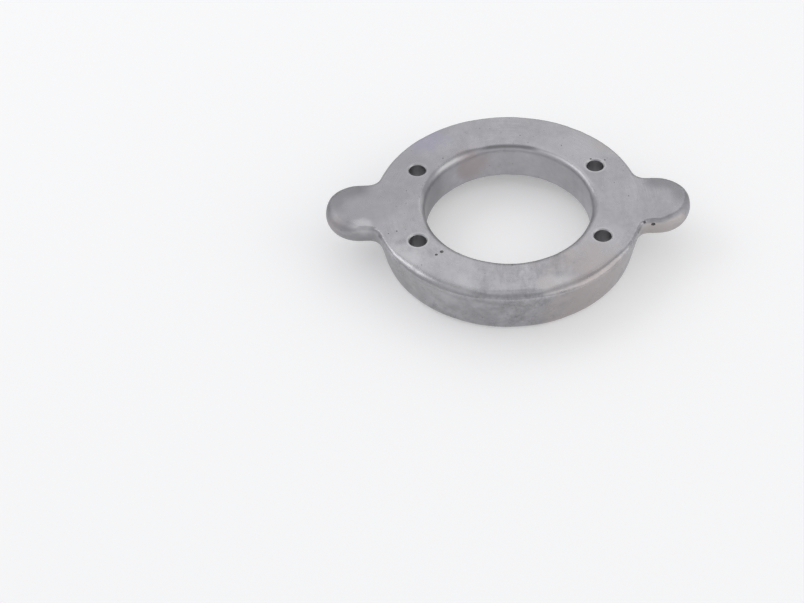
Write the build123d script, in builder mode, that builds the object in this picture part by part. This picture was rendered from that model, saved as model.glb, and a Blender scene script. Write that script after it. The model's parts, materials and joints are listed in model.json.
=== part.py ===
from build123d import *
import os
from math import cos, radians, sin, tan

os.makedirs("parts", exist_ok=True)

# A collar anode, one zinc casting. The lip side stands on z = 0 with the flat
# mounting face up, the ears point along X, and the bore axis is Z.

# Ring
bore_dia = 87.0             # shaft housing passes through
wall_width = 27.5           # bore to outer wall, at the flat face
height = 28.0               # flat face down to the end of the lip
wall_draft = 12.0           # degrees, the outer wall narrows towards the lip
lip_width = 8.5             # at the end of the lip, before its corners are rounded
recess_depth = 8.0          # round recess inside the lip

# Ears
ear_reach = 24.3            # tip beyond the outer wall
ear_width = 35.0            # full round at the tip
ear_depth = 14.5            # down from the flat face
ear_draft = 4.0             # degrees

# Screw holes, on four corners of a hexagon: the two on the ear line are left out
hole_inset = 11.0           # hole centre from the bore wall
hole_angle = 30.0           # degrees, from the ear line
screw_hole_dia = 9.0        # M8 clearance
head_pocket_dia = 15.0      # M8 socket head
seat_metal = 10.0           # metal left between the head pocket and the flat face

# Rounded and broken edges
bore_round = 3.0            # bore, at the flat face
lip_foot_round = 4.5        # outer corner of the lip
ear_foot_round = 10.0       # lower outline of the ears
ear_root_round = 6.5        # inside corner where an ear leaves the wall
face_break = 1.8            # outline of the flat face, a bevel for its soft edge
lip_break = 0.6             # recess mouth and bore foot
hole_break = 0.4            # screw holes, at the flat face

bore_r = bore_dia / 2
ring_r = bore_r + wall_width
lip_r = ring_r - height * tan(radians(wall_draft))
recess_r = lip_r - lip_width
ear_span = 2 * (ring_r + ear_reach)
hole_circle_r = bore_r + hole_inset
hole_spacing_x = 2 * hole_circle_r * cos(radians(hole_angle))
hole_spacing_y = 2 * hole_circle_r * sin(radians(hole_angle))

# A rounding stays inside the wall that carries it, with some of the wall left flat.
flat_left = 0.5
lip_foot_round = min(lip_foot_round, lip_width - lip_break - flat_left)
ear_foot_round = min(ear_foot_round, ear_depth - face_break - flat_left, ear_width / 2 - 4 * flat_left)
ear_root_round = min(ear_root_round, height - ear_depth - lip_foot_round - flat_left)

# Both ears come from one bar across the ring. Its tips are full round, and its
# lower outline is rounded before the middle, inside the ring, is taken away.
with BuildPart() as ears:
    with BuildSketch(Plane.XY.offset(height)):
        SlotOverall(ear_span, ear_width)
    extrude(amount=ear_depth, dir=(0, 0, -1), taper=ear_draft)
    ear_underside = ears.faces().sort_by(Axis.Z).first
    fillet(ear_underside.edges(), ear_foot_round)
    Hole(bore_r + wall_width / 2)

with BuildPart() as anode_ring:
    # The ring is turned from one section: bore, flat face, drafted wall, lip and recess.
    with BuildSketch(Plane.YZ):
        with BuildLine():
            Polyline(
                (bore_r, height),
                (ring_r, height),
                (lip_r, 0),
                (recess_r, 0),
                (recess_r, recess_depth),
                (bore_r, recess_depth),
                close=True,
            )
        make_face()
    revolve(axis=Axis.Z)

    # The root of each ear flows into the wall with one radius, down both sides and underneath.
    add(ears.part)
    fillet(anode_ring.edges(Select.NEW), ear_root_round)

    # The flat face: one bevel follows the wall, the roots and the ears, and the bore is rounded.
    flat_face = anode_ring.faces().sort_by(Axis.Z).last
    bore_mouth = flat_face.inner_wires()[0].edges()
    chamfer(flat_face.outer_wire().edges(), face_break)
    fillet(bore_mouth, bore_round)

    # The lip side: the end of the lip first, then the recess floor above it.
    lip_end = anode_ring.faces().sort_by(Axis.Z).first
    lip_foot = lip_end.outer_wire().edges()
    recess_mouth = lip_end.inner_wires()[0].edges()
    fillet(lip_foot, lip_foot_round)
    chamfer(recess_mouth, lip_break)
    recess_floor = anode_ring.faces().filter_by(Axis.Z).sort_by_distance((0, 0, recess_depth)).first
    chamfer(recess_floor.inner_wires()[0].edges(), lip_break)

    # Screw holes pass through from the flat face.
    with BuildSketch(Plane.XY.offset(height)):
        with GridLocations(hole_spacing_x, hole_spacing_y, 2, 2):
            Circle(screw_hole_dia / 2)
    extrude(amount=-height, mode=Mode.SUBTRACT)
    openings = anode_ring.faces().sort_by(Axis.Z).last.inner_wires().sort_by(SortBy.LENGTH)
    hole_mouths = openings[:-1]  # all but the longest, which is the bore
    chamfer(hole_mouths.edges(), hole_break)

    # Head pockets rise from the lip side. They are wide enough to bite through the
    # wall of the recess, so each one leaves a crescent notch in the lip.
    with BuildSketch(Plane.XY):
        with GridLocations(hole_spacing_x, hole_spacing_y, 2, 2):
            Circle(head_pocket_dia / 2)
    extrude(amount=height - seat_metal, mode=Mode.SUBTRACT)

anode_ring.part.label = "anode_ring"
export_step(anode_ring.part, "parts/anode_ring.step")

overall = anode_ring.part.bounding_box().size
print(f"overall {overall.X:.2f} x {overall.Y:.2f} x {overall.Z:.2f} mm")
print(f"metal {anode_ring.part.volume / 1000:.1f} cm3")
print(f"screw holes {hole_spacing_x:.2f} x {hole_spacing_y:.2f} mm apart")
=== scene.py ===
# %% [markdown]
# # A cast zinc collar anode
# The real object is one zinc casting: a ring with a lip, two ears and four screw holes. This
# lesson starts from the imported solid, which has the true sizes, and gives it what a casting has:
# soft edges, a slightly wavy skin, opened pores, drilled holes and a dull grey oxide.

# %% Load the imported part
import json
from math import cos, pi, radians, sin, tan

import bmesh
import bpy
import numpy as np
from mathutils import Matrix, Vector, noise


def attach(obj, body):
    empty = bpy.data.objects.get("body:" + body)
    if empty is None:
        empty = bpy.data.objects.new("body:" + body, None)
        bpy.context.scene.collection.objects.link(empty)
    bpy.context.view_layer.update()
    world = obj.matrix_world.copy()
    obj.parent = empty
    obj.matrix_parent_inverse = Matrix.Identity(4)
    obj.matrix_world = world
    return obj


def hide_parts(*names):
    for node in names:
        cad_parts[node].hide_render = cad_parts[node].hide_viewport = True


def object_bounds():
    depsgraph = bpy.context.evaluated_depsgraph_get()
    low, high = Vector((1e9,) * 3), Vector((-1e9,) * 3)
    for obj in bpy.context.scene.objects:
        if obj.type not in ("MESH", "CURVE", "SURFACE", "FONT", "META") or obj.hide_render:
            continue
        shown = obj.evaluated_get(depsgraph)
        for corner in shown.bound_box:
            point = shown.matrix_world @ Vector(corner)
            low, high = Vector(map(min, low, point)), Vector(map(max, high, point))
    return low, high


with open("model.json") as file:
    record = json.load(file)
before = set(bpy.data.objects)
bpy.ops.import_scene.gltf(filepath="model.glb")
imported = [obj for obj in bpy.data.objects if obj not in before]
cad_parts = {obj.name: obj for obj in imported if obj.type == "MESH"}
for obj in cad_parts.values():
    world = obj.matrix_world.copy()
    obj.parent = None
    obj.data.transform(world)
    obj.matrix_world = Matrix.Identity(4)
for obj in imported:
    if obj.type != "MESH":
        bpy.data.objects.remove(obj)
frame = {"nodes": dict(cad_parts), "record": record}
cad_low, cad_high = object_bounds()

MM = 0.001
print("box of the packed part, mm:", [round((b - a) / MM, 2) for a, b in zip(cad_low, cad_high)])

# %% [markdown]
# ## The camera
# The photograph looks down on the part at about 42 degrees, with the part off the middle of a wide
# frame. A camera can be aimed by eye, or worked out: here its angle, distance and lens were found by
# laying the part's outline over the picture. It looks straight at the middle of the flat face, and
# the lens shift moves the part to its place, so that the perspective stays the same.

# %% Set the camera
FRAME_W, FRAME_H = 804, 603
SENSOR_W = 36
camera_turn, camera_height, camera_roll = -2.2, 42.09, 0.08
camera_distance = 1005.2 * MM
focal_px = 1931.4
aim_px = (508.37, 201.82)


def put(name, data):
    """An object with that data, linked into the scene."""
    piece = bpy.data.objects.new(name, data)
    bpy.context.scene.collection.objects.link(piece)
    return piece


turn, rise, roll = (radians(v) for v in (camera_turn, camera_height, camera_roll))
back = Vector((sin(turn) * cos(rise), -cos(turn) * cos(rise), sin(rise)))
level_right = Vector((cos(turn), sin(turn), 0))
level_up = back.cross(level_right)
right = cos(roll) * level_right - sin(roll) * level_up
up = sin(roll) * level_right + cos(roll) * level_up

camera = put("camera", bpy.data.cameras.new("camera"))
face_middle = Vector((0, 0, cad_high.z))
camera.matrix_world = Matrix.Translation(face_middle + back * camera_distance) @ Matrix(
    (right, up, back)).transposed().to_4x4()
camera.data.sensor_width = SENSOR_W
camera.data.lens = SENSOR_W * focal_px / FRAME_W
camera.data.shift_x = (FRAME_W / 2 - aim_px[0]) / FRAME_W
camera.data.shift_y = (aim_px[1] - FRAME_H / 2) / FRAME_W
camera.data.clip_start, camera.data.clip_end = 0.01, 20
bpy.context.scene.camera = camera
print("lens", round(camera.data.lens, 1), "mm, shift", round(camera.data.shift_x, 3),
      round(camera.data.shift_y, 3))

# %% [markdown]
# ## Turned helpers
# Drills, plugs and the core of the recess are all round, so one helper turns a section about the Z
# axis. A Screw modifier would do the same; plain mesh code keeps every corner where it is written.

# %% Turn a section into a closed solid
TURN_STEPS = 72


def piece_from(bm, name):
    """Turns a finished bmesh into an object in the scene."""
    mesh = bpy.data.meshes.new(name)
    bm.to_mesh(mesh)
    bm.free()
    return put(name, mesh)


def turned(name, section, centre=(0, 0), steps=TURN_STEPS):
    """A closed solid turned about a vertical axis. section lists (radius, z) in mm, from axis to axis."""
    bm = bmesh.new()
    rings = []
    for radius, z in section:
        if radius == 0:
            rings.append([bm.verts.new((centre[0] * MM, centre[1] * MM, z * MM))])
        else:
            rings.append([
                bm.verts.new(((centre[0] + radius * cos(2 * pi * k / steps)) * MM,
                              (centre[1] + radius * sin(2 * pi * k / steps)) * MM, z * MM))
                for k in range(steps)])
    for a, b in zip(rings, rings[1:]):
        for k in range(steps):
            n = (k + 1) % steps
            if len(a) == 1:
                bm.faces.new((a[0], b[n], b[k]))
            elif len(b) == 1:
                bm.faces.new((a[k], a[n], b[0]))
            else:
                bm.faces.new((a[k], a[n], b[n], b[k]))
    bmesh.ops.recalc_face_normals(bm, faces=bm.faces)
    return piece_from(bm, name)


def settle(piece):
    """Applies the modifiers of a piece to its mesh and counts the faces."""
    evaluated = piece.evaluated_get(bpy.context.evaluated_depsgraph_get())
    mesh = bpy.data.meshes.new_from_object(evaluated)
    piece.modifiers.clear()
    piece.data = mesh
    return len(mesh.polygons)


print("a turned piece has", TURN_STEPS, "steps round")

# %% [markdown]
# ## The casting as it leaves the mould
# The real ring is poured into an iron mould, so all its edges are soft, and the screw holes are
# drilled afterwards. It could be modelled from nothing with a turned ring and two ears, but the packed
# solid already has the exact sizes. So its mesh is copied, the drilled holes are plugged, and a voxel
# remesh melts it all into one even skin that can be worked like clay.

# %% Copy the solid, plug its holes and melt it into one skin
VOXEL = 0.8
HEIGHT = round(cad_high.z / MM, 2)
mounts = {mount["name"]: mount for mount in frame["record"]["mounts"]}
screws = mounts["screw_holes"]["dims"]
SCREW_R, POCKET_R, SEAT_Z = screws["hole_r_mm"], 7.5, 18.0
PLUG_LAP, SEAT_LAP, CUP_GAP = 0.9, 1.0, 0.2
screw_places = [(x * screws["spacing_x_mm"] / 2, y * screws["spacing_y_mm"] / 2)
                for x in (-1, 1) for y in (-1, 1)]


def melt(piece):
    """Remeshes a piece into one even skin of small squares."""
    remesh = piece.modifiers.new("skin", "REMESH")
    remesh.mode = "VOXEL"
    remesh.voxel_size = VOXEL * MM
    return settle(piece)


casting = put("anode_casting", frame["nodes"]["anode_ring"].data.copy())
neck, cup = SCREW_R + PLUG_LAP, POCKET_R - CUP_GAP
plugs = []
for place in screw_places:
    for radius, top, foot in ((neck, HEIGHT, SEAT_Z - SEAT_LAP), (cup, SEAT_Z + PLUG_LAP, 0)):
        plugs.append(turned("plug", [(0, top), (radius, top), (radius, foot), (0, foot)], place))
with bpy.context.temp_override(active_object=casting, selected_editable_objects=[casting] + plugs):
    bpy.ops.object.join()
print("faces of the first skin:", melt(casting))

# %% [markdown]
# ## The recess again
# The head pockets bite through the wall of the recess, so the plugs fill a little of the recess too. A
# core of its own size cuts it open again, as a boring tool would. The Boolean modifier hands the
# finish of the tool to the cut, which the drills and the pores will need.

# %% Turn out the recess again
RECESS_R, RECESS_DEEP = mounts["hub_recess"]["dims"]["r_mm"], 8.0
CORE_STEPS, CORE_FOOT = 180, -1


def cut(piece, tool):
    """Cuts a tool out of a piece, deletes the tool and counts the faces."""
    boolean = piece.modifiers.new("cut", "BOOLEAN")
    boolean.operation = "DIFFERENCE"
    boolean.solver = "MANIFOLD"
    boolean.object = tool
    boolean.material_mode = "TRANSFER"
    faces = settle(piece)
    tool_mesh = tool.data
    bpy.data.objects.remove(tool)
    bpy.data.meshes.remove(tool_mesh)
    return faces


recess = [(0, RECESS_DEEP), (RECESS_R, RECESS_DEEP), (RECESS_R, CORE_FOOT), (0, CORE_FOOT)]
print("faces with the recess:", cut(casting, turned("recess_core", recess, steps=CORE_STEPS)))

# %% [markdown]
# ## Pillow ears
# The belt that dressed the ring ran out on the ears, so they keep the pillow shape of the mould: the
# top dips a little towards the outline, and its edge is much rounder in front than behind, most of all
# on the left ear. Sculpting would do it, but a formula stays true to the outline: every point above
# the pillow is laid down onto it.

# %% Read the points and lay them down
def ramp(value, low, high):
    """Rises smoothly from 0 to 1 while value goes from low to high."""
    t = np.clip((value - low) / (high - low), 0, 1)
    return t * t * (3 - 2 * t)


def read_points(mesh, what="vertices", key="co"):
    """The points of a mesh, or their normals, as rows of x, y and z."""
    values = np.empty(len(mesh.vertices) * 3, np.float32)
    getattr(mesh, what).foreach_get(key, values)
    return values.reshape(-1, 3).astype(float)


def write_points(mesh, points):
    """Moves the points of a mesh to places in mm."""
    mesh.vertices.foreach_set("co", (points * MM).astype(np.float32).ravel())
    mesh.update()


def lay_down(points, top):
    """Lays each point that is above top down onto it, and counts them."""
    above = points[:, 2] > top
    points[above, 2] = top[above]
    return int(above.sum())


def roll_off(inward, radius):
    """How far a round edge of that radius has dropped at a distance inward from the outline."""
    return radius - np.sqrt(radius ** 2 - np.clip(radius - inward, 0, radius) ** 2)


points = read_points(casting.data) / MM
x, y = points[:, 0], points[:, 1]
print("points read:", len(points), "up to", round(float(points[:, 2].max()), 2), "mm high")

# %% Crown the ears
EAR_HALF, EAR_EDGE_OUT = 17.5, 0.13  # half its width, and how far its sharp outline is past the box
EAR_MIDDLE = cad_high.x / MM + EAR_EDGE_OUT - EAR_HALF
FRONT_ROOT, BACK_ROOT, ROOT_FADE = 74, 66, 13
CROWN_WIDE, CROWN_DEEP = 10.0, 0.35
BACK_EDGE, LEFT_FRONT_EDGE, RIGHT_FRONT_EDGE = 2.2, 6.5, 5.5
BACK_ENDS, FRONT_BEGINS = -12, 6  # towards the front


def pillow_top(x, y):
    """The height of the pillow at each place."""
    inward = EAR_HALF - np.hypot(np.clip(np.abs(x) - EAR_MIDDLE, 0, None), y)
    root = np.where(y < 0, FRONT_ROOT, BACK_ROOT)
    share = ramp(np.abs(x), root, root + ROOT_FADE)
    dip = CROWN_DEEP * np.clip(1 - inward / CROWN_WIDE, 0, 1) ** 2
    front_edge = np.where(x < 0, LEFT_FRONT_EDGE, RIGHT_FRONT_EDGE)
    radius = BACK_EDGE + (front_edge - BACK_EDGE) * ramp(-y, BACK_ENDS, FRONT_BEGINS)
    return HEIGHT - share * (dip + roll_off(inward, radius))


print("points laid onto the pillows:", lay_down(points, pillow_top(x, y)))

# %% [markdown]
# ## The worn bore mouth and the rolled rim
# The mouth of the bore and the front of the rim are rounder than the solid's edges: metal was worn
# off there by handling and dressing. The same formula lays them down, with the distance from the bore
# or from the wall. The mouth stays crisper at the back right. The roll of the rim fades out towards
# the ears, and it is smaller in the middle.

# %% Roll the bore mouth and the front of the rim
MOUTH_ROLL, CRISP_MOUTH_ROLL = 5.0, 3.2
CRISP_WAY, CRISP_BEGINS, CRISP_FULL = radians(60), 24, 33
FRONT_ROLL, MIDDLE_ROLL, LEAST_ROLL = 5.5, 3.5, 0.01
MIDDLE_ENDS, SIDE_BEGINS = 8, 30  # to each side of the middle
RIM_BEGINS, RIM_FULL, RIM_SLACK = 22, 48, 0.5  # towards the front, and out past the rim
RIM_EDGE_OUT = 0.38  # how far the rim's sharp outline is past the box
BORE_R = mounts["shaft_bore"]["dims"]["r_mm"]
RING_R = cad_high.y / MM + RIM_EDGE_OUT

from_axis = np.hypot(x, y)
rim_roll = MIDDLE_ROLL + (FRONT_ROLL - MIDDLE_ROLL) * ramp(np.abs(x), MIDDLE_ENDS, SIDE_BEGINS)
rim_roll = np.maximum(rim_roll * ramp(-y, RIM_BEGINS, RIM_FULL), LEAST_ROLL)
inside_rim = (from_axis < RING_R + RIM_SLACK) & (y < -RIM_BEGINS)
top = HEIGHT - np.where(inside_rim, roll_off(RING_R - from_axis, rim_roll), 0)
to_back_right = x * cos(CRISP_WAY) + y * sin(CRISP_WAY)
mouth_roll = MOUTH_ROLL + (CRISP_MOUTH_ROLL - MOUTH_ROLL) * ramp(to_back_right, CRISP_BEGINS, CRISP_FULL)
top = np.minimum(top, HEIGHT - roll_off(from_axis - BORE_R, mouth_roll))
print("points rolled:", lay_down(points, top), "bore", BORE_R, "ring", round(RING_R, 2))

# %% [markdown]
# ## The filed front
# In front, the face rolls off early over a stretch as long as a thumb: there the feeder of the
# casting was cut off and filed. A flat file leaves a flat, so every point above one tilted plane is
# laid down onto it, and the plane runs out by itself where the ring curves away.

# %% File the front edge
FILE_START, FILE_TILT = -65.2, radians(12.0)
past = FILE_START - y
print("points filed:", lay_down(points, np.where(past > 0, HEIGHT - past * tan(FILE_TILT), np.inf)))
write_points(casting.data, points)

# %% [markdown]
# ## Soft edges
# Laying points down crowds some of them together, so a second melt spreads them out again. Then a
# Smooth modifier gives every edge the small soft radius of a casting. A Bevel modifier would need
# clean edge loops, which a melted skin doesn't have.

# %% Melt it again and soften its edges
melt(casting)
soften = casting.modifiers.new("soften", "SMOOTH")
soften.factor, soften.iterations = 0.5, 7
print("faces of the soft casting:", settle(casting))

# %% [markdown]
# ## The skin
# Iron moulds are brushed with a coating, so a cast wall is never quite smooth. The flat face was
# dressed on a belt and is much flatter. Bump in the material can fake this, but only real waves bend
# the highlights along the edges. So each point is moved along its normal by two sizes of noise, a lot
# on the walls and very little on the two faces that have to be flat. Smoothing has shrunk the part a
# little, so the walls are let out again first.

# %% Move the skin by noise
WALL_SIZE, FINE_SIZE, SEAT_SIZE = 15, 4.5, 24
WALL_WAVE, FINE_WAVE, SEAT_WAVE, LET_OUT = 0.16, 0.05, 0.025, 0.17
LEVEL_BEGINS, LEVEL_FULL = 0.90, 0.995  # how straight up or down a normal points
SEAT_NEAR, SEAT_FULL = 0.6, 0.1  # distance from one of the two flat faces
SEED_STEPS = (17.3, 5.1, 29.7)
mesh = casting.data
points = read_points(mesh) / MM
normals = read_points(mesh, "vertex_normals", "vector")


def waves(at, size, seed):
    """Smooth noise from -1 to 1 with waves of that size in mm."""
    shift = Vector([seed * step for step in SEED_STEPS])
    return np.array([noise.noise(Vector(p) / size + shift) for p in at])


z = points[:, 2]
level = ramp(np.abs(normals[:, 2]), LEVEL_BEGINS, LEVEL_FULL)
near_seats = np.maximum(ramp(z, HEIGHT - SEAT_NEAR, HEIGHT - SEAT_FULL), 1 - ramp(z, SEAT_FULL, SEAT_NEAR))
seat = near_seats * level
wall_move = LET_OUT + WALL_WAVE * waves(points, WALL_SIZE, 1) + FINE_WAVE * waves(points, FINE_SIZE, 2)
move = (1 - seat) * wall_move + seat * SEAT_WAVE * (waves(points, SEAT_SIZE, 3) - 1)
points += normals * move[:, None]
points = np.clip(points, np.array(cad_low) / MM, np.array(cad_high) / MM)
write_points(mesh, points)
print("skin moved by", round(float(move.min()), 2), "to", round(float(move.max()), 2), "mm")

# %% [markdown]
# ## Drilled holes
# Each screw hole was drilled through and given a flat-bottomed pocket from the lip side for the
# screw's head. A drill is a turned solid, so cutting with one leaves the crisp round edge that a
# remesh can't. The tool flares at both ends for the small break at the mouths of the hole.

# %% Drill the screw holes
BREAK, OUT = 0.6, 1.5
zinc_skin = bpy.data.materials.new("zinc_skin")
drilled_zinc = bpy.data.materials.new("drilled_zinc")
casting.data.materials.clear()
casting.data.materials.append(zinc_skin)
drill_section = [
    (0, HEIGHT + OUT), (SCREW_R + BREAK + OUT, HEIGHT + OUT), (SCREW_R, HEIGHT - BREAK),
    (SCREW_R, SEAT_Z), (POCKET_R, SEAT_Z), (POCKET_R, BREAK), (POCKET_R + BREAK + OUT, -OUT), (0, -OUT)]
for place in screw_places:
    drill = turned("drill", drill_section, place)
    drill.data.materials.append(drilled_zinc)
    faces = cut(casting, drill)
print("faces after drilling:", faces, "with", [m.name for m in casting.data.materials])

# %% [markdown]
# ## Opened pores
# Zinc takes up gas, and dressing the face opens some of the bubbles under it. A pore could be painted
# dark, but a small squashed ball cut out of the skin gives a real hollow with its own shadow. The ones
# that show in the photograph are listed one by one, the rest are strewn with a fixed seed. The tool
# carries the dark finish that the cut leaves inside.

# %% Open the pores
LUMP, LUMP_RATE = 0.28, 1.3
STREWN, STREWN_R, STREWN_ACROSS, STREWN_DEPTH = 14, (49, 66), (0.4, 0.7), 0.35
pore_oxide = bpy.data.materials.new("pore_oxide")


def pore(at, across, deep):
    """A lumpy little ball, in mm."""
    bm = bmesh.new()
    bmesh.ops.create_icosphere(bm, subdivisions=2, radius=1.0)
    for v in bm.verts:
        lump = 1 + LUMP * noise.noise(v.co * LUMP_RATE + Vector(at))
        v.co = Vector((v.co.x * across / 2, v.co.y * across / 2, v.co.z * deep)) * lump
        v.co = (v.co + Vector(at)) * MM
    tool = piece_from(bm, "pore")
    tool.data.materials.append(pore_oxide)
    return tool


# Place, size across and half height of each pore that shows.
pores = [
    ((-35.2, -36.2, 28.0), 2.1, 0.45),
    ((-37.9, -38.3, 28.0), 1.6, 0.35),
    ((45.2, 32.4, 28.0), 1.1, 0.4),
    ((52.7, 31.3, 28.0), 1.0, 0.4),
    ((74.1, -17.9, 25.5), 2.5, 1.2),
    ((69.6, -18.1, 27.7), 1.8, 0.9),
    ((0.2, -46.9, 27.9), 1.2, 0.4),
    ((-58.0, -20.0, 28.0), 0.9, 0.35),
]
rng = np.random.default_rng(7)
for _ in range(STREWN):
    angle, radius = rng.uniform(0, 2 * pi), rng.uniform(*STREWN_R)
    size = rng.uniform(*STREWN_ACROSS)
    pores.append(((radius * cos(angle), radius * sin(angle), HEIGHT), size, size * STREWN_DEPTH))
tools = [pore(*each) for each in pores]
with bpy.context.temp_override(active_object=tools[0], selected_editable_objects=tools):
    bpy.ops.object.join()
print("faces with", len(pores), "pores:", cut(casting, tools[0]))

# %% [markdown]
# ## Smooth shading
# The skin is fine enough to look round once its faces share their normals. The edges that a drill or a
# pore has cut stay sharp. They could be marked by hand, but an angle tells them from the soft edges.

# %% Shade it smooth, sharp only where it is cut
SHARP_ANGLE = radians(38)
casting.data.shade_smooth()
casting.data.set_sharp_from_angle(angle=SHARP_ANGLE)
print("triangles:", sum(len(p.vertices) - 2 for p in casting.data.polygons))

# %% [markdown]
# ## Node helpers
# The finishes are built from nodes in code. One helper adds a node and fills its sockets, with plain
# values or with the output of another node, and others do the sums on masks. That keeps each recipe
# down to a few readable lines.

# %% Add nodes with a short call
FLOAT, VECTOR = "NodeSocketFloat", "NodeSocketVector"


def fill(tree, socket, value):
    """Links the output of a node to a socket, or writes a plain value into it."""
    if isinstance(value, bpy.types.NodeSocket):
        tree.links.new(value, socket)
    else:
        socket.default_value = value


def add(tree, kind, label="", settings=None, **inputs):
    """A new node. Its sockets go by name, with _ for a space, or i0, i1 by their number."""
    node = tree.nodes.new(kind)
    node.label = label
    for key, value in (settings or {}).items():
        setattr(node, key, value)
    for key, value in inputs.items():
        numbered = key[0] == "i" and key[1:].isdigit()
        fill(tree, node.inputs[int(key[1:]) if numbered else key.replace("_", " ")], value)
    return node


def new_group(name, inputs, outputs):
    """An empty group: its tree, the sockets that it is given and those of its result."""
    tree = bpy.data.node_groups.new(name, "ShaderNodeTree")
    for title, kind, value in inputs:
        socket = tree.interface.new_socket(name=title, in_out="INPUT", socket_type=kind)
        if value is not None:
            socket.default_value = value
    for title in outputs:
        tree.interface.new_socket(name=title, in_out="OUTPUT", socket_type=FLOAT)
    return tree, tree.nodes.new("NodeGroupInput").outputs, tree.nodes.new("NodeGroupOutput").inputs


print("kinds of socket that the groups use:", FLOAT, VECTOR)

# %% Do sums with masks
MASK_MIDDLE = 0.5


def calc(tree, operation, a, b=0.0, clamp=False):
    """The result of a Math node."""
    node = add(tree, "ShaderNodeMath", settings={"operation": operation, "use_clamp": clamp}, i0=a, i1=b)
    return node.outputs[0]


def product(tree, first, *others):
    """Masks and amounts multiplied with each other."""
    for other in others:
        first = calc(tree, "MULTIPLY", first, other)
    return first


def swing(tree, mask, amount):
    """A mask from 0 to 1, turned into a swing to both sides of 0 by half the amount."""
    return product(tree, calc(tree, "SUBTRACT", mask, MASK_MIDDLE), amount)


def scaled(tree, value, low, high, to_low=0.0, to_high=1.0):
    """A smooth step from to_low to to_high while value goes from low to high."""
    node = add(tree, "ShaderNodeMapRange", settings={"interpolation_type": "SMOOTHSTEP"}, Value=value)
    for key, number in (("From Min", low), ("From Max", high), ("To Min", to_low), ("To Max", to_high)):
        node.inputs[key].default_value = number
    return node.outputs["Result"]


def clouded(tree, label, place, scale, detail, roughness=0.5):
    """The value of a noise texture at a place."""
    return add(tree, "ShaderNodeTexNoise", label, Vector=place, Scale=scale, Detail=detail,
               Roughness=roughness).outputs[0]


print("a mask swings round", MASK_MIDDLE)

# %% [markdown]
# ## Clouds in the oxide
# Dull zinc is never one grey. Its oxide is thicker here and thinner there, in clouds from a few
# millimetres to a few centimetres across. Two sizes of noise, mixed, give a slow mottling that can be
# used for tone and for gloss alike.

# %% Group: oxide clouds
FINER, LARGE_SHARE, SMALL_SHARE, CLOUD_SPREAD = 3.7, 0.55, 0.45, 3.0
tree, given, result = new_group("oxide_clouds", [
    ("Place mm", VECTOR, None), ("Cloud Size", FLOAT, 16.0), ("Contrast", FLOAT, 1.0)], ["Cloud"])
scale_large = calc(tree, "DIVIDE", 1.0, given["Cloud Size"])
scale_small = product(tree, scale_large, FINER)
large = clouded(tree, "large clouds", given["Place mm"], scale_large, 2.0)
small = clouded(tree, "small clouds", given["Place mm"], scale_small, 4.0, 0.6)
both = calc(tree, "ADD", product(tree, large, LARGE_SHARE), product(tree, small, SMALL_SHARE))
spread = swing(tree, both, product(tree, given["Contrast"], CLOUD_SPREAD))
tree.links.new(calc(tree, "ADD", spread, MASK_MIDDLE, clamp=True), result["Cloud"])
print("group", tree.name, "with", len(tree.nodes), "nodes")

# %% [markdown]
# ## Grain of the mould
# The mould's coating prints a fine pebble into the skin, finer than the mesh could carry. It goes into
# the height of a bump, with a few pinholes in it, and dressed places can be kept smoother.

# %% Group: mould grain
PINHOLE_RATE, PINHOLE_EDGE, PINHOLE_DEEP, PINHOLES_HERE = 0.34, (0.05, 0.17), 0.8, (0.52, 0.66)
tree, given, result = new_group("mould_grain", [
    ("Place mm", VECTOR, None), ("Grain Size", FLOAT, 1.1)], ["Height", "Pits"])
grain_scale = calc(tree, "DIVIDE", 1.0, given["Grain Size"])
pebble = clouded(tree, "pebble", given["Place mm"], grain_scale, 3.0, 0.65)
cells = add(tree, "ShaderNodeTexVoronoi", "pinholes", Vector=given["Place mm"],
            Scale=product(tree, grain_scale, PINHOLE_RATE))
few = clouded(tree, "where pinholes are", given["Place mm"], 0.09, 1.0)
pits = product(tree, scaled(tree, cells.outputs["Distance"], *PINHOLE_EDGE, 1.0, 0.0),
               scaled(tree, few, *PINHOLES_HERE))
tree.links.new(calc(tree, "SUBTRACT", pebble, product(tree, pits, PINHOLE_DEEP)), result["Height"])
tree.links.new(pits, result["Pits"])
print("group", tree.name, "with", len(tree.nodes), "nodes")

# %% [markdown]
# ## Marks of dressing
# The flat face was dressed with the ring turning under a belt, so faint lines follow the ring. Noise
# that is stretched along the circle does this: the radius is sampled finely and the angle coarsely.

# %% Group: dressing lines
ANGLE_RATE, LINES_HERE = 3.0, (0.42, 0.62)
tree, given, result = new_group("dressing_lines", [
    ("Place mm", VECTOR, None), ("Line Width", FLOAT, 0.5)], ["Lines"])
parts = add(tree, "ShaderNodeSeparateXYZ", Vector=given["Place mm"]).outputs
radius = calc(tree, "SQRT", calc(tree, "ADD", *(calc(tree, "POWER", parts[axis], 2.0) for axis in "XY")))
angle = calc(tree, "ARCTAN2", parts["Y"], parts["X"])
polar = add(tree, "ShaderNodeCombineXYZ", X=calc(tree, "DIVIDE", radius, given["Line Width"]),
            Y=product(tree, angle, ANGLE_RATE))
lines = clouded(tree, "belt lines", polar.outputs[0], 1.0, 2.0)
bites = clouded(tree, "where the belt bit", given["Place mm"], 0.05, 1.0)
tree.links.new(swing(tree, lines, scaled(tree, bites, *LINES_HERE)), result["Lines"])
print("group", tree.name, "with", len(tree.nodes), "nodes")
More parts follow.
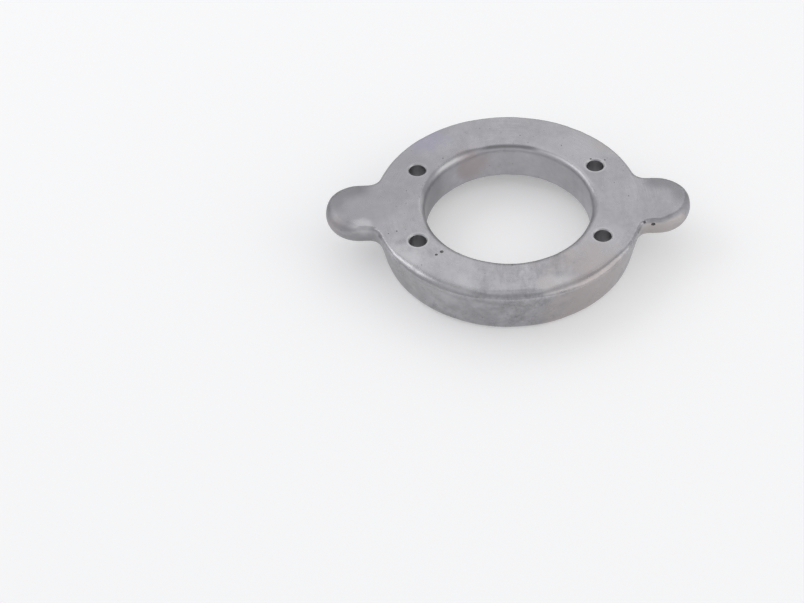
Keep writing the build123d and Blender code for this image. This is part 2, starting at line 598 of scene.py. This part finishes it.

# %% [markdown]
# ## Rubbed edges and painted shade in hollows
# Where castings knock together in a bin, the oxide on the outer edges is rubbed thin and the metal
# shines through. Hollows are painted darker, as shade. The Geometry node's pointiness tells an edge
# from a hollow at every point of a fine mesh.

# %% Group: rubbed edges and painted shade in hollows
FLAT_POINTINESS, RUBBED_HERE = 0.5, (0.35, 0.6)
tree, given, result = new_group("rubbed_edges", [
    ("Place mm", VECTOR, None), ("Reach", FLOAT, 0.03)], ["Rub", "Hollow"])
bend = add(tree, "ShaderNodeNewGeometry").outputs["Pointiness"]
ragged = clouded(tree, "ragged", given["Place mm"], 0.7, 3.0)
over = calc(tree, "SUBTRACT", bend, FLAT_POINTINESS)
rub = calc(tree, "DIVIDE", over, given["Reach"], clamp=True)
# Below flat, the bend marks a hollow, which is painted darker as shade.
hollow = calc(tree, "DIVIDE", product(tree, over, -1.0), given["Reach"], clamp=True)
tree.links.new(product(tree, rub, scaled(tree, ragged, *RUBBED_HERE)), result["Rub"])
tree.links.new(hollow, result["Hollow"])
print("group", tree.name, "with", len(tree.nodes), "nodes")

# %% [markdown]
# ## Tinted bloom and painted light
# Zinc oxide takes a faint tint, violet where it is thin and warm where it has been handled. The same
# balls also lay painted highlights, painted shade and painted warm light. Each patch is a soft ball
# around one place, with a ragged edge, so that the same group can lay every one of them.

# %% Group: tinted bloom and painted light
RAGGED_BORDER, PATCH_FADES = 1.4, (0.35, 1.15)
tree, given, result = new_group("tinted_bloom", [
    ("Place mm", VECTOR, None), ("Middle", VECTOR, None), ("Across", FLOAT, 20.0)], ["Bloom"])
away = add(tree, "ShaderNodeVectorMath", settings={"operation": "DISTANCE"}, i0=given["Place mm"],
           i1=given["Middle"]).outputs["Value"]
reach = calc(tree, "DIVIDE", away, product(tree, given["Across"], 0.5))
border = swing(tree, clouded(tree, "ragged border", given["Place mm"], 0.12, 3.0), RAGGED_BORDER)
reach = calc(tree, "ADD", reach, border)
tree.links.new(scaled(tree, reach, *PATCH_FADES, 1.0, 0.0), result["Bloom"])
print("group", tree.name, "with", len(tree.nodes), "nodes")

# %% [markdown]
# ## The three finishes
# The part shows cast skin nearly everywhere, drilled metal in the holes and dark oxide in the pores.
# All three are dull metal, so each is a plain Metallic with a grey base, and they share the groups
# above with their own values. A few more helpers place a group, mix two colours, do sums with places
# and start an empty finish.

# %% Place groups, mix colours, start a finish
def use(tree, name, **inputs):
    """Places a group and fills its sockets."""
    node = tree.nodes.new("ShaderNodeGroup")
    node.node_tree = bpy.data.node_groups[name]
    for key, value in inputs.items():
        fill(tree, node.inputs[key.replace("_", " ")], value)
    return node.outputs


def blend(tree, factor, a, b):
    """Mixes two colours, each the output of a node or three numbers."""
    node = tree.nodes.new("ShaderNodeMix")
    node.data_type = "RGBA"
    for name, value in (("Factor", factor), ("A", a), ("B", b)):
        socket = next(s for s in node.inputs if s.name == name and s.enabled)
        fill(tree, socket, (*value, 1.0) if isinstance(value, tuple) else value)
    return next(s for s in node.outputs if s.enabled)


def vector(tree, operation, a, b=(0, 0, 0)):
    """The result of a Vector Math node."""
    node = add(tree, "ShaderNodeVectorMath", settings={"operation": operation}, i0=a, i1=b)
    return node.outputs["Value" if operation == "LENGTH" else "Vector"]


def start_finish(material):
    """Empties a material, and gives its tree, its metal shader and the place of a point in mm."""
    material.use_nodes = True
    tree = material.node_tree
    tree.nodes.clear()
    shader = tree.nodes.new("ShaderNodeBsdfPrincipled")
    shader.inputs["Metallic"].default_value = 1.0
    out = tree.nodes.new("ShaderNodeOutputMaterial")
    tree.links.new(shader.outputs[0], out.inputs[0])
    coords = tree.nodes.new("ShaderNodeTexCoord").outputs["Object"]
    place = add(tree, "ShaderNodeVectorMath", "metres to mm", {"operation": "SCALE"}, i0=coords, Scale=1 / MM)
    return tree, shader, place.outputs[0]


print("groups to use:", [group.name for group in bpy.data.node_groups])

# %% [markdown]
# ## Where the casting is dressed
# Only the flat face was dressed, so a mask picks what lies high and looks up. The blotches are drawn
# out across the ring, the way the belt ran over it. The ears' backs and tips lie a little lower than
# the belt reached, and keep their dark skin with a ragged border.

# %% Find the dressed face and the skin left on the ears
SKIN_DEEP, SKIN_FULL, SKIN_RAGGED = 14.0, 5.0, 4.0  # from an ear's outline, in mm
EARS_BEGIN, BACK_BEGINS = (68.0, 78.0), (-9.0, 3.0)  # from the middle along X, and along Y
LOOKS_UP, LIES_HIGH = (0.96, 0.995), (27.45, 27.85)  # the normal's Z, and the height in mm
DRAWN_OUT = (1.0, 0.5, 1.0)
tree, shader, place = start_finish(zinc_skin)
normal = add(tree, "ShaderNodeNewGeometry").outputs["Normal"]
facing = add(tree, "ShaderNodeSeparateXYZ", Vector=normal).outputs
at = add(tree, "ShaderNodeSeparateXYZ", Vector=place).outputs
clouds = use(tree, "oxide_clouds", Place_mm=place, Cloud_Size=19.0, Contrast=0.9)["Cloud"]
blotches = use(tree, "oxide_clouds", Place_mm=vector(tree, "MULTIPLY", place, DRAWN_OUT), Cloud_Size=8.0,
               Contrast=1.0)["Cloud"]

along = calc(tree, "ABSOLUTE", at["X"])
past_middle = calc(tree, "MAXIMUM", calc(tree, "SUBTRACT", along, EAR_MIDDLE), 0.0)
from_middle = vector(tree, "LENGTH", add(tree, "ShaderNodeCombineXYZ", X=past_middle, Y=at["Y"]).outputs[0])
border = calc(tree, "ADD", from_middle, swing(tree, blotches, SKIN_RAGGED))
ear_skin = product(tree, scaled(tree, border, EAR_HALF - SKIN_DEEP, EAR_HALF - SKIN_FULL),
                   scaled(tree, along, *EARS_BEGIN), scaled(tree, at["Y"], *BACK_BEGINS))
dressed = product(tree, scaled(tree, facing["Z"], *LOOKS_UP), scaled(tree, at["Z"], *LIES_HIGH),
                  calc(tree, "SUBTRACT", 1.0, ear_skin))
print("skin left up to", SKIN_DEEP, "mm from the outline of an ear")

# %% [markdown]
# ## Its grey tones
# One grey would do for a swatch, but here every cause has its own factor: dressed or not, thick oxide
# on the ears, and a bore wall that is lighter, partly as cleaner metal and partly as a painted
# reflection, and darker at its left side as painted shade. Clouds, blotches and belt lines follow. They
# are multiplied into one shade of the zinc's own grey, so each can be turned up or down alone. Rubbed
# edges, painted shade in the hollows and pinholes are mixed in last.

# %% Mix the tones
ZINC = (0.406, 0.399, 0.419)
SKIN_SHADE, BORE_LIGHT, BORE_SHADED_LEFT = 0.88, 0.37, -0.04
LEFT_OXIDE, RIGHT_OXIDE = 0.34, 0.20
CLOUD_TONE, BLOTCH_TONE, FRONT_BLOTCH_TONE, BELT_TONE = 0.14, 0.20, 0.50, 0.35
FRONT_ENDS, LEFT_TO_RIGHT = (-45.0, -10.0), (-20.0, 20.0)  # along Y, and along X
BORE_ENDS, BORE_LEFT_ENDS = (BORE_R + 0.5, BORE_R + 2.5), (-43.0, -27.0)  # from the axis, and along X


def vary(tree, mask, amount):
    """A factor round 1: a mask of 0.5 leaves the tone, 0 and 1 lower and raise it by half the amount."""
    return calc(tree, "ADD", swing(tree, mask, amount), 1.0)


belt = use(tree, "dressing_lines", Place_mm=place, Line_Width=0.55)["Lines"]
in_front = scaled(tree, at["Y"], *FRONT_ENDS, 1.0, 0.0)
from_axis = vector(tree, "LENGTH", vector(tree, "MULTIPLY", place, (1, 1, 0)))
thick_oxide = product(tree, ear_skin, scaled(tree, at["X"], *LEFT_TO_RIGHT, LEFT_OXIDE, RIGHT_OXIDE))
in_bore = scaled(tree, from_axis, *BORE_ENDS, 1.0, 0.0)
# The bore wall is painted lighter, partly as cleaner metal and partly as a painted reflection, and its left
# side is painted darker, as shade.
bore_light_and_shade = product(tree, in_bore, scaled(tree, at["X"], *BORE_LEFT_ENDS, BORE_SHADED_LEFT, BORE_LIGHT))
factors = (
    calc(tree, "SUBTRACT", 1.0, thick_oxide),
    calc(tree, "ADD", bore_light_and_shade, 1.0),
    vary(tree, clouds, CLOUD_TONE),
    vary(tree, blotches, scaled(tree, in_front, 0.0, 1.0, BLOTCH_TONE, FRONT_BLOTCH_TONE)),
    vary(tree, calc(tree, "ADD", belt, MASK_MIDDLE), product(tree, dressed, BELT_TONE)),
)
shade = product(tree, scaled(tree, dressed, 0.0, 1.0, SKIN_SHADE, 1.0), *factors)
tone = add(tree, "ShaderNodeVectorMath", "tone", {"operation": "SCALE"}, i0=ZINC, Scale=shade).outputs[0]
print("tones mixed with", len(factors), "factors")

# %% Mix in the rubbed edges, the painted shade in the hollows and the pinholes
# The dark grey is painted shade: in the hollows, in a band under the front rim and under the back of the
# bore's edge.
RUBBED, PAINTED_SHADE, PINHOLE = (0.56, 0.56, 0.58), (0.22, 0.215, 0.225), (0.16, 0.155, 0.16)
edges = use(tree, "rubbed_edges", Place_mm=place, Reach=0.05)
grain = use(tree, "mould_grain", Place_mm=place, Grain_Size=1.0)
for mask, share, colour in ((edges["Rub"], 0.6, RUBBED), (edges["Hollow"], 0.45, PAINTED_SHADE),
                            (grain["Pits"], 0.6, PINHOLE)):
    tone = blend(tree, product(tree, mask, share), tone, colour)
print("skin so far:", len(tree.nodes), "nodes")

# %% [markdown]
# ## Bright rings
# A screw's washer and the drill's chips leave a bright ring round each hole. The four holes mirror
# each other, so the ring needs only one distance, measured from the folded place.

# %% Lay the rings
HALF_PATTERN = (screws["spacing_x_mm"] / 2, screws["spacing_y_mm"] / 2, 0)
RING_FULL, RING_ENDS, RING_SHARE = 5.2, 6.6, 0.8
RING_TINT = (0.52, 0.515, 0.53)
aside = vector(tree, "SUBTRACT", vector(tree, "ABSOLUTE", place), HALF_PATTERN)
from_hole = vector(tree, "LENGTH", vector(tree, "MULTIPLY", aside, (1, 1, 0)))
ring = product(tree, scaled(tree, from_hole, RING_FULL, RING_ENDS, RING_SHARE, 0.0), dressed)
tone = blend(tree, ring, tone, RING_TINT)
print("rings", RING_ENDS, "mm round the holes")

# %% [markdown]
# ## Patches
# The patches are where the picture shows the part paler, darker, violet or warm. The bright ones
# along the front rim and on the front edge of the left ear are painted highlights, the dark band under
# the rim is painted shade, and the warm ones on the right front wall and on the side of the right ear
# are painted warm light, the wall's partly a warm tint. A painted texture could hold them, but a short
# list of soft balls is easier to change. A ball also reaches round an edge, so some are kept to the
# top, to the side, or to a band under the rim.

# %% Lay the patches
PALE, GREY, VIOLET = (0.50, 0.495, 0.515), (0.33, 0.325, 0.345), (0.35, 0.34, 0.44)
RIM_HIGHLIGHT, EDGE_HIGHLIGHT, PINK = (0.60, 0.595, 0.61), (0.58, 0.575, 0.59), (0.42, 0.36, 0.36)
WARM_TINT_AND_LIGHT, WARM_SIDE_LIGHT, WARM_FACE = (0.45, 0.41, 0.405), (0.52, 0.48, 0.47), (0.42, 0.39, 0.375)
TOP_BEGINS, BAND_BEGINS = (25.8, 27.0), (21.5, 24.0)  # heights in mm
# Tint, middle and size across in mm, share, and where it is kept to.
patches = (
    (PALE, (-32, -50, 28), 48, 0.55),
    (PALE, (44, -30, 28), 40, 0.50),
    (PALE, (38, 42, 28), 46, 0.45),
    # Painted highlights along the rolled front rim.
    (RIM_HIGHLIGHT, (25, -63, 28), 26, 0.85, "top"),
    (RIM_HIGHLIGHT, (-54, -40, 28), 23, 0.62, "top"),
    (RIM_HIGHLIGHT, (-24, -62, 28), 18, 0.45, "top"),
    # Painted shade in a band under the front rim.
    (PAINTED_SHADE, (-44, -53, 24), 30, 0.30, "band"),
    (PAINTED_SHADE, (-16, -68, 24), 34, 0.22, "band"),
    (GREY, (-52, 26, 28), 52, 0.55),
    (GREY, (-76, -2, 28), 50, 0.50),
    (VIOLET, (-43, 52, 28), 26, 0.50),
    (PINK, (-18, 40, 20), 22, 0.60),
    # A warm tint with painted warm light on the right front wall, then painted warm light on the side of the
    # right ear.
    (WARM_TINT_AND_LIGHT, (38, -54, 14), 60, 0.80),
    (WARM_SIDE_LIGHT, (77, -17, 21), 34, 0.85, "side"),
    # A painted highlight on the front edge of the left ear.
    (EDGE_HIGHLIGHT, (-76, -14.5, 27), 13, 0.70),
    (WARM_FACE, (54, 46, 28), 20, 0.45),
    (PINK, (-90, -9, 24), 12, 0.30),
)
on_top = scaled(tree, at["Z"], *TOP_BEGINS)
on_side = calc(tree, "SUBTRACT", 1.0, on_top)
in_band = product(tree, on_side, scaled(tree, at["Z"], *BAND_BEGINS))
kept_to = {"top": on_top, "side": on_side, "band": in_band}
for tint, middle, across, share, *where in patches:
    patch_mask = use(tree, "tinted_bloom", Place_mm=place, Middle=middle, Across=across)["Bloom"]
    if where:
        share = product(tree, kept_to[where[0]], share)
    tone = blend(tree, product(tree, patch_mask, share), tone, tint)
print("patches laid:", len(patches))

# %% [markdown]
# ## The edge of the bore
# A narrow ring round the mouth of the bore carries painted light: the bright stretches are painted
# highlights, and at the back a dark line under the edge is painted shade. Each is that ring times the
# stretch where it shows.

# %% Paint highlights and shade on the edge of the bore
MOUTH_HIGHLIGHT = (0.64, 0.635, 0.65)
EDGE_BEGINS, EDGE_ENDS = (BORE_R + 0.3, BORE_R + 1.2), (BORE_R + 2.3, BORE_R + 3.7)  # from the axis
EDGE_ABOVE = (24.0, 25.5)
mouth = product(tree, scaled(tree, from_axis, *EDGE_BEGINS), scaled(tree, from_axis, *EDGE_ENDS, 1.0, 0.0),
                scaled(tree, at["Z"], *EDGE_ABOVE))


def stretch(amount, *limits):
    """A share of the ring round the mouth, kept between limits along X or Y in mm."""
    return product(tree, mouth, amount, *(scaled(tree, at[axis], *limit) for axis, *limit in limits))


# A dark line painted as shade under the back of the edge, then three bright stretches painted as highlights.
shaded = stretch(0.75, ("Y", 37, 42, 0, 1), ("X", -16, -8, 0, 1), ("X", 12, 20, 1, 0))
bright_right = stretch(0.40, ("X", 14, 22, 0, 1), ("Y", 8, 18, 0, 1))
bright_left = stretch(0.75, ("X", -44.5, -41, 1, 0), ("Y", -26, -16, 0, 1), ("Y", 2, 14, 1, 0))
bright_behind = stretch(0.45, ("X", -41, -34, 0, 1), ("X", -29, -20, 1, 0), ("Y", 20, 27, 0, 1))
bright = calc(tree, "MAXIMUM", calc(tree, "MAXIMUM", bright_right, bright_left), bright_behind)
tone = blend(tree, bright, blend(tree, shaded, tone, PAINTED_SHADE), MOUTH_HIGHLIGHT)
tree.links.new(tone, shader.inputs["Base Color"])
print("edge of the bore: one dirty and three bright stretches")

# %% [markdown]
# ## Its gloss and grain
# The shine is what tells metal from grey paint. It is a little sharper on the dressed face and on
# rubbed edges, duller in the bore and on the sides of the ears, and it changes with the oxide. The
# grain is a bump of about a tenth of a millimetre, weaker on the dressed face, where the belt lines
# take its place.

# %% Set the gloss
SKIN_ROUGH, FACE_ROUGH, BORE_DULL, EAR_DULL = 0.30, 0.27, 0.16, 0.18
CLOUD_ROUGH, BLOTCH_ROUGH, RUB_SHINE = -0.2, 0.08, 0.08
EAR_SIDE_BEGINS, EDGE_TILTS = (66.0, 74.0), (0.90, 0.99)  # from the middle along X, and the normal's Z
rough = scaled(tree, dressed, 0.0, 1.0, SKIN_ROUGH, FACE_ROUGH)
rough = product(tree, rough, vary(tree, clouds, CLOUD_ROUGH))
ear_side = product(tree, scaled(tree, along, *EAR_SIDE_BEGINS),
                   scaled(tree, facing["Z"], *EDGE_TILTS, 1.0, 0.0))
for more in (swing(tree, blotches, BLOTCH_ROUGH), product(tree, in_bore, BORE_DULL),
             product(tree, ear_side, EAR_DULL)):
    rough = calc(tree, "ADD", rough, more)
rough = calc(tree, "SUBTRACT", rough, product(tree, edges["Rub"], RUB_SHINE), clamp=True)
tree.links.new(rough, shader.inputs["Roughness"])
print("roughness round", FACE_ROUGH, "on the face and", round(SKIN_ROUGH + BORE_DULL, 2), "in the bore")

# %% Set the grain
FACE_GRAIN, BELT_HEIGHT = 0.35, 0.9
grain_here = product(tree, grain["Height"], scaled(tree, dressed, 0.0, 1.0, 1.0, FACE_GRAIN))
height = calc(tree, "ADD", grain_here, product(tree, belt, dressed, BELT_HEIGHT))
bump = add(tree, "ShaderNodeBump", Strength=0.5, Distance=0.12 * MM, Height=height)
tree.links.new(bump.outputs[0], shader.inputs["Normal"])
print("finish", zinc_skin.name, "with", len(tree.nodes), "nodes")

# %% [markdown]
# ## The drilled metal
# Inside the holes the drill cut fresh metal, which has dulled since. Its feed leaves fine rings down
# the wall. They are far too fine for the mesh, so a sine over the height makes them in the bump.

# %% Lay the drilled finish
DRILL_FEED, FEED_HEIGHT, DRILLED_ROUGH = 0.35, 0.25, (0.34, 0.46)
DRILLED_DARK, DRILLED_PALE, DRILLED_PIT = (0.42, 0.415, 0.43), (0.52, 0.515, 0.53), (0.26, 0.25, 0.26)
tree, shader, place = start_finish(drilled_zinc)
clouds = use(tree, "oxide_clouds", Place_mm=place, Cloud_Size=4.0, Contrast=0.8)["Cloud"]
grain = use(tree, "mould_grain", Place_mm=place, Grain_Size=0.7)
tone = blend(tree, clouds, DRILLED_DARK, DRILLED_PALE)
tone = blend(tree, product(tree, grain["Pits"], 0.5), tone, DRILLED_PIT)
tree.links.new(tone, shader.inputs["Base Color"])
tree.links.new(scaled(tree, clouds, 0.0, 1.0, *DRILLED_ROUGH), shader.inputs["Roughness"])
depth = add(tree, "ShaderNodeSeparateXYZ", Vector=place).outputs["Z"]
feed = calc(tree, "SINE", product(tree, depth, 2 * pi / DRILL_FEED))
height = calc(tree, "ADD", product(tree, feed, FEED_HEIGHT), grain["Height"])
bump = add(tree, "ShaderNodeBump", Strength=0.4, Distance=0.05 * MM, Height=height)
tree.links.new(bump.outputs[0], shader.inputs["Normal"])
print("finish", drilled_zinc.name, "with", len(tree.nodes), "nodes")

# %% [markdown]
# ## Inside the pores
# Nothing rubs the inside of a pore, so dark oxide and dirt stay in it. It is the darkest and dullest
# finish here, and only its clouds are needed at this size.

# %% Lay the oxide of the pores
OXIDE_DARK, OXIDE_PALE, OXIDE_ROUGH = (0.15, 0.146, 0.148), (0.24, 0.234, 0.238), (0.55, 0.70)
tree, shader, place = start_finish(pore_oxide)
clouds = use(tree, "oxide_clouds", Place_mm=place, Cloud_Size=0.8, Contrast=1.0)["Cloud"]
tree.links.new(blend(tree, clouds, OXIDE_DARK, OXIDE_PALE), shader.inputs["Base Color"])
tree.links.new(scaled(tree, clouds, 0.0, 1.0, *OXIDE_ROUGH), shader.inputs["Roughness"])
print("finish", pore_oxide.name, "with", len(tree.nodes), "nodes")

# %% [markdown]
# ## The floor
# The part was photographed on plain white. A studio would use a sheet of paper, and here the floor is
# one wide pale sheet. It is a little brighter to the camera and in reflections than its own paint,
# which keeps it white and still lets the shadow show.

# %% Lay the floor
FLOOR_HALF, FLOOR_DROP, FLOOR_GLOW = 4.0, 0.05 * MM, 0.29
bm = bmesh.new()
bmesh.ops.create_grid(bm, x_segments=1, y_segments=1, size=FLOOR_HALF)
floor = piece_from(bm, "floor")
floor.location.z = -FLOOR_DROP

paint = bpy.data.materials.new("pale_floor")
paint.use_nodes = True
tree = paint.node_tree
shader = next(n for n in tree.nodes if n.type == "BSDF_PRINCIPLED")
shader.inputs["Base Color"].default_value = (0.8, 0.8, 0.8, 1)
shader.inputs["Roughness"].default_value = 1.0
shader.inputs["Specular IOR Level"].default_value = 0.0
path = tree.nodes.new("ShaderNodeLightPath").outputs
seen = calc(tree, "MAXIMUM", path["Is Camera Ray"],
            calc(tree, "MAXIMUM", path["Is Glossy Ray"], path["Is Transmission Ray"]))
shader.inputs["Emission Color"].default_value = (1, 1, 1, 1)
tree.links.new(product(tree, seen, FLOOR_GLOW), shader.inputs["Emission Strength"])
floor.data.materials.append(paint)
print("floor", 2 * FLOOR_HALF, "m wide")

# %% [markdown]
# ## The light
# Metal shows what it mirrors, so the sky matters more than the lamps. It is bright and even, a little
# darker overhead. Three wide soft lamps stand round the part: the one behind lights the flat face, the
# left one draws the highlights along the rolled rims, and the right one warms the side of the ear.

# %% Light it
SKY_GLOW, ZENITH_GLOW, ZENITH_BEGINS = 0.68, 0.58, (0.82, 0.96)
LAMP_AWAY = 1.6
world = bpy.data.worlds.new("soft_sky")
bpy.context.scene.world = world
world.use_nodes = True
tree = world.node_tree
sky = next(n for n in tree.nodes if n.type == "BACKGROUND")
sky.inputs["Color"].default_value = (0.97, 0.98, 1.0, 1)
ahead = add(tree, "ShaderNodeTexCoord").outputs["Generated"]
overhead = add(tree, "ShaderNodeSeparateXYZ", Vector=ahead).outputs["Z"]
tree.links.new(scaled(tree, overhead, *ZENITH_BEGINS, SKY_GLOW, ZENITH_GLOW), sky.inputs["Strength"])


def lamp(name, turn, rise, size, glow, tint=(1, 1, 1)):
    """A soft rectangle aimed at the part, turned from the ear line. glow is how bright it looks."""
    turn, rise = radians(turn), radians(rise)
    at = LAMP_AWAY * Vector((cos(rise) * cos(turn), cos(rise) * sin(turn), sin(rise)))
    light = bpy.data.lights.new(name, "AREA")
    light.shape = "RECTANGLE"
    light.size, light.size_y = size
    light.energy = glow * pi * size[0] * size[1]
    light.color = tint
    holder = put(name, light)
    holder.location = at
    holder.rotation_mode = "QUATERNION"
    holder.rotation_quaternion = (-at).to_track_quat("-Z", "Y")


lamp("back_lamp", 90, 44, (1.8, 0.8), 0.34)
lamp("left_lamp", 160, 44, (1.1, 0.8), 1.0)
lamp("right_lamp", -15, 28, (1.5, 1.1), 0.65, (1.0, 0.97, 0.94))
bpy.context.scene.view_settings.view_transform = "Standard"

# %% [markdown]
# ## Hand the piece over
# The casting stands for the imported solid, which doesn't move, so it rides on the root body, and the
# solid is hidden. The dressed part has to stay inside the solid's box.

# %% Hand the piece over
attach(casting, "root")
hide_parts("anode_ring")
